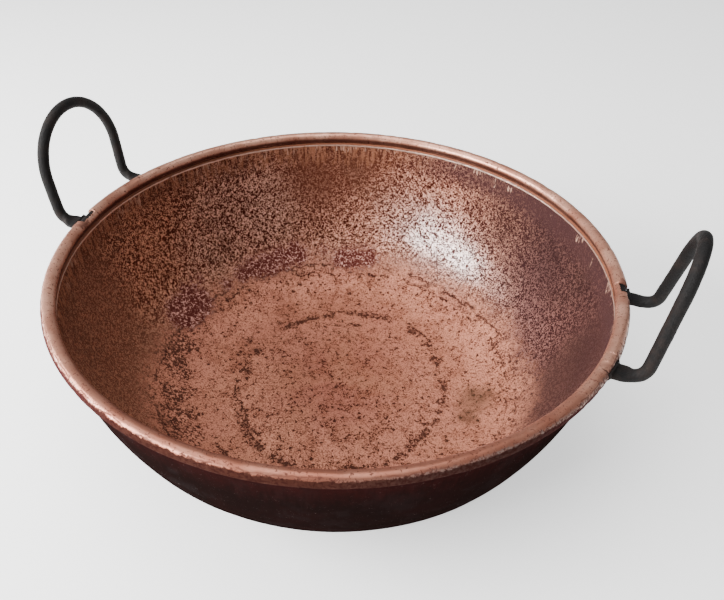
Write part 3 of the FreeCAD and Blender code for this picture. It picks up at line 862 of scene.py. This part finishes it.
def rimCopper():
    look = rimLook
    f = Finish("rolled copper rim", Specular_IOR_Level=0.0)
    f.locate()
    x, y, z, radius = f.x, f.y, f.z, f.radius
    clouds = f.noise(30, 3, 0.6)
    patches = f.noise(6, 3, 0.6, 0.8)
    grains = f.noise(1.6, 2, 0.6, 0.8)
    colour = f.mix(f.smooth(clouds, 0.35, 0.65), look["bright"], look["worn"])
    colour = f.mix(f.smooth(grains, 0.5, 0.66) * 0.35, colour, look["worn"])
    ragged = (patches - 0.5) * 6 + (grains - 0.5) * 3
    outerSide = f.smooth(radius + ragged * 0.7 - rimRadius, *look["outerEdge"])
    # Painted shade: the bead is darker towards the front
    frontShading = f.smooth(x * 0.35 - y, 90, 220)
    colour = f.mix(frontShading * (0.55 + patches * 0.4), colour, look["front"])
    greySide = f.sum("MAXIMUM", f.smooth(x, 60, 170), f.smooth(y, 0, 90))
    colour = f.mix(outerSide * greySide * 0.75, colour, look["grey"])
    # Nicks, long creases where the roll was closed, and dark tears at the notches
    nicks = f.smooth(f.noise(2.2, 2, 0.6, 0.8) + outerSide * (0.08 + greySide * 0.04), 0.6, 0.64)
    away = abs(radius + (clouds - 0.5) * 5 + (patches - 0.5) * 1.5 - rimRadius + look["creaseInset"])
    creases = (1 - f.smooth(away, 0.15, 0.6)) * f.smooth(f.noise(16, 2), 0.46, 0.52)
    nicks = f.sum("MAXIMUM", nicks, creases * 0.8)
    nicks = f.sum("MAXIMUM", nicks, f.near(look["tears"], ragged * 1.6, 1.5) * 0.9)
    colour = f.mix(nicks * 0.8, colour, look["oxide"])
    # A broken painted highlight line on the outer side at the left, and the tarnished skirt below it, which
    # climbs at the front
    height = z - wireHeight
    climb = f.smooth(y * -1, 60, 150)
    level = height + ragged * (0.3 + climb * 0.3) - climb * look["skirtClimb"]
    highlightLine = (1 - f.smooth(abs(level - look["highlightLineHeight"]), 0.1, 0.45)) * f.smooth(f.noise(9, 2), 0.47, 0.54)
    highlightLine = highlightLine * outerSide * f.smooth(x * -1 - y * 0.3, 60, 140)
    colour = f.mix(highlightLine * 0.8, colour, look["highlightLine"])
    outward = f.smooth(radius + ragged * 0.3 - wireCircle, 0.8, 2)
    skirt = (1 - f.smooth(level, *look["skirtHeights"])) * outward
    skirtColour = f.mix(climb * f.smooth(x, -160, -20), look["purple"], look["maroon"])
    colour = f.mix(skirt * (0.86 + patches * 0.14), colour, skirtColour)
    below = (1 - f.smooth(height + ragged, *look["belowHeights"])) * f.smooth(radius - wireCircle, -1, 1)
    # The inner side of the roll is dark from about its middle down: painted shade
    lowInside = 1 - f.smooth(height + (patches - 0.5) * 1.5, *look["innerHeights"])
    inner = (1 - f.smooth(radius - wireCircle, -4.6, -3)) * lowInside
    inner = f.sum("MAXIMUM", inner, 1 - f.smooth(height, -4.4, -3))
    below = f.sum("MAXIMUM", below, inner * 0.85)
    # Painted shade on the roll's inner side, mixed in with the dark underside
    colour = f.mix(below, colour, look["groove"])
    dull = f.sum("MAXIMUM", nicks, skirt)
    f.set(
        Base_Color=colour,
        Roughness=0.3 + dull * 0.3 + below * 0.2 + patches * 0.1,
        Metallic=(0.8 - nicks * 0.4 - below * 0.3) * (1 - skirt * 0.9),
        Normal=f.bump(patches - nicks * 0.6 + grains * 0.15, 0.2, 0.4),
    )
    return f.material


outsideLook = {
    "soot": paint(22, 14, 13),
    "brown": paint(26, 15, 14),
    "plum": paint(44, 18, 17),
    "paintedSheen": paint(32, 26, 26),
    "scratch": paint(96, 76, 72),
    "rimHeights": (104, 148),  # where the outside turns plum towards the rim
}


def sootedCopper():
    look = outsideLook
    f = Finish("sooted copper outside", Specular_IOR_Level=0.0)
    f.locate()
    clouds = f.noise(42, 4, 0.65, 0.6)
    patches = f.noise(9, 3, 0.6, 0.5)
    streaks = f.stretched(3, 14, 2)
    colour = f.mix(f.smooth(clouds, 0.4, 0.64), look["soot"], look["brown"])
    # Painted sheen: pale patches, stronger towards -X
    paintedSheen = f.smooth(f.noise(24, 3, 0.6) + (streaks - 0.5) * 0.3, 0.48, 0.66)
    colour = f.mix(paintedSheen * (0.3 + f.smooth(f.x * -1, -60, 120) * 0.5), colour, look["paintedSheen"])
    nearRim = f.smooth(f.z + (patches - 0.5) * 24 + (streaks - 0.5) * 20, *look["rimHeights"])
    colour = f.mix(nearRim * (0.25 + f.smooth(f.x, -130, 20) * 0.55), colour, look["plum"])
    scratches = f.smooth(f.noise(1.2, 2, 0.7, 1.5) + (patches - 0.5) * 0.2, 0.7, 0.74)
    colour = f.mix(scratches * 0.5, colour, look["scratch"])
    f.set(
        Base_Color=colour,
        Roughness=0.6 + clouds * 0.25 - scratches * 0.1,
        Metallic=scratches * 0.7,
        Normal=f.bump(patches + f.noise(2, 2) * 0.4, 0.5, 0.5),
    )
    return f.material


ironLook = {
    "scale": paint(15, 13, 13),
    "brown": paint(32, 24, 21),
    "worn": paint(104, 98, 94),
}


def forgedIron():
    look = ironLook
    f = Finish("forged iron", Specular_IOR_Level=0.22)
    clouds = f.noise(14, 4, 0.6)
    grains = f.noise(1.3, 3, 0.65)
    colour = f.mix(f.smooth(clouds, 0.42, 0.7), look["scale"], look["brown"])
    rubbed = f.smooth(grains + (clouds - 0.5) * 0.2, 0.7, 0.78)
    colour = f.mix(rubbed * 0.7, colour, look["worn"])
    f.set(
        Base_Color=colour,
        Roughness=0.58 + grains * 0.25 - rubbed * 0.2,
        Metallic=0.15 + rubbed * 0.5,
        Normal=f.bump(grains * 1.4 + clouds, 0.5, 0.9),
    )
    return f.material


iron = forgedIron()
for material in (wornCopper(), rimCopper(), sootedCopper()):  # in the order of the skins
    pan.data.materials.append(material)
for piece in forgedLoops.values():
    piece.data.materials.clear()
    piece.data.materials.append(iron)
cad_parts["rim_wire"].material_slots[0].material = iron
print("finishes done")


# The table, the light and the camera, in metres
studio = {
    "table": paint(250, 250, 249),
    "tableSize": 8.0,
    "tableGlow": 0.85,
    "sky": (0.86, 0.87, 0.89, 1.0),
    "skyStrength": 0.56,
    "aimHeight": 0.07,  # where both lamps point
}
lamps = {
    "window": {"azimuth": 220, "height": 27, "distance": 1.7, "size": (1.7, 0.7), "power": 100},
    "top light": {"azimuth": 200, "height": 80, "distance": 2.0, "size": (1.8, 1.8), "power": 36},
}


def layTable():
    bpy.ops.mesh.primitive_grid_add(x_subdivisions=8, y_subdivisions=8, size=studio["tableSize"])
    table = bpy.context.object
    table.name = "table"
    f = Finish("pale table", Roughness=0.8, Emission_Strength=studio["tableGlow"])
    f.shader.inputs["Base Color"].default_value = studio["table"]
    table.data.materials.append(f.material)


def hangLight(name, choice):
    lamp = bpy.data.lights.new(name, "AREA")
    lamp.shape = "RECTANGLE"
    lamp.size, lamp.size_y = choice["size"]
    lamp.energy = choice["power"]
    holder = bpy.data.objects.new(name, lamp)
    bpy.context.scene.collection.objects.link(holder)
    a, e = math.radians(choice["azimuth"]), math.radians(choice["height"])
    away = Vector((math.cos(a) * math.cos(e), math.sin(a) * math.cos(e), math.sin(e)))
    holder.location = away * choice["distance"] + Vector((0, 0, studio["aimHeight"]))
    holder.rotation_euler = away.to_track_quat("Z", "Y").to_euler()
    holder.visible_camera = False


def lightStudio():
    world = bpy.context.scene.world or bpy.data.worlds.new("studio")
    bpy.context.scene.world = world
    world.use_nodes = True
    sky = world.node_tree.nodes["Background"]
    sky.inputs["Color"].default_value = studio["sky"]
    sky.inputs["Strength"].default_value = studio["skyStrength"]
    for name, choice in lamps.items():
        hangLight(name, choice)


view = {
    "place": (0.181146, -0.415615, 0.454776),
    "heading": 21.734,
    "tilt": 51.733,
    "roll": 1.640,
    "lens": 33.81,
    "shift": (0.00925, 0.00199),
}


def placeCamera():
    camera = bpy.data.cameras.new("camera")
    camera.lens = view["lens"]
    camera.sensor_width = 36
    camera.clip_start = 0.01
    camera.shift_x, camera.shift_y = view["shift"]
    holder = bpy.data.objects.new("camera", camera)
    bpy.context.scene.collection.objects.link(holder)
    aim = Matrix.Rotation(math.radians(view["heading"]), 4, "Z")
    aim = aim @ Matrix.Rotation(math.radians(view["tilt"]), 4, "X")
    aim = aim @ Matrix.Rotation(math.radians(view["roll"]), 4, "Z")
    holder.matrix_world = Matrix.Translation(view["place"]) @ aim
    bpy.context.scene.camera = holder


layTable()
lightStudio()
placeCamera()
print("studio done")
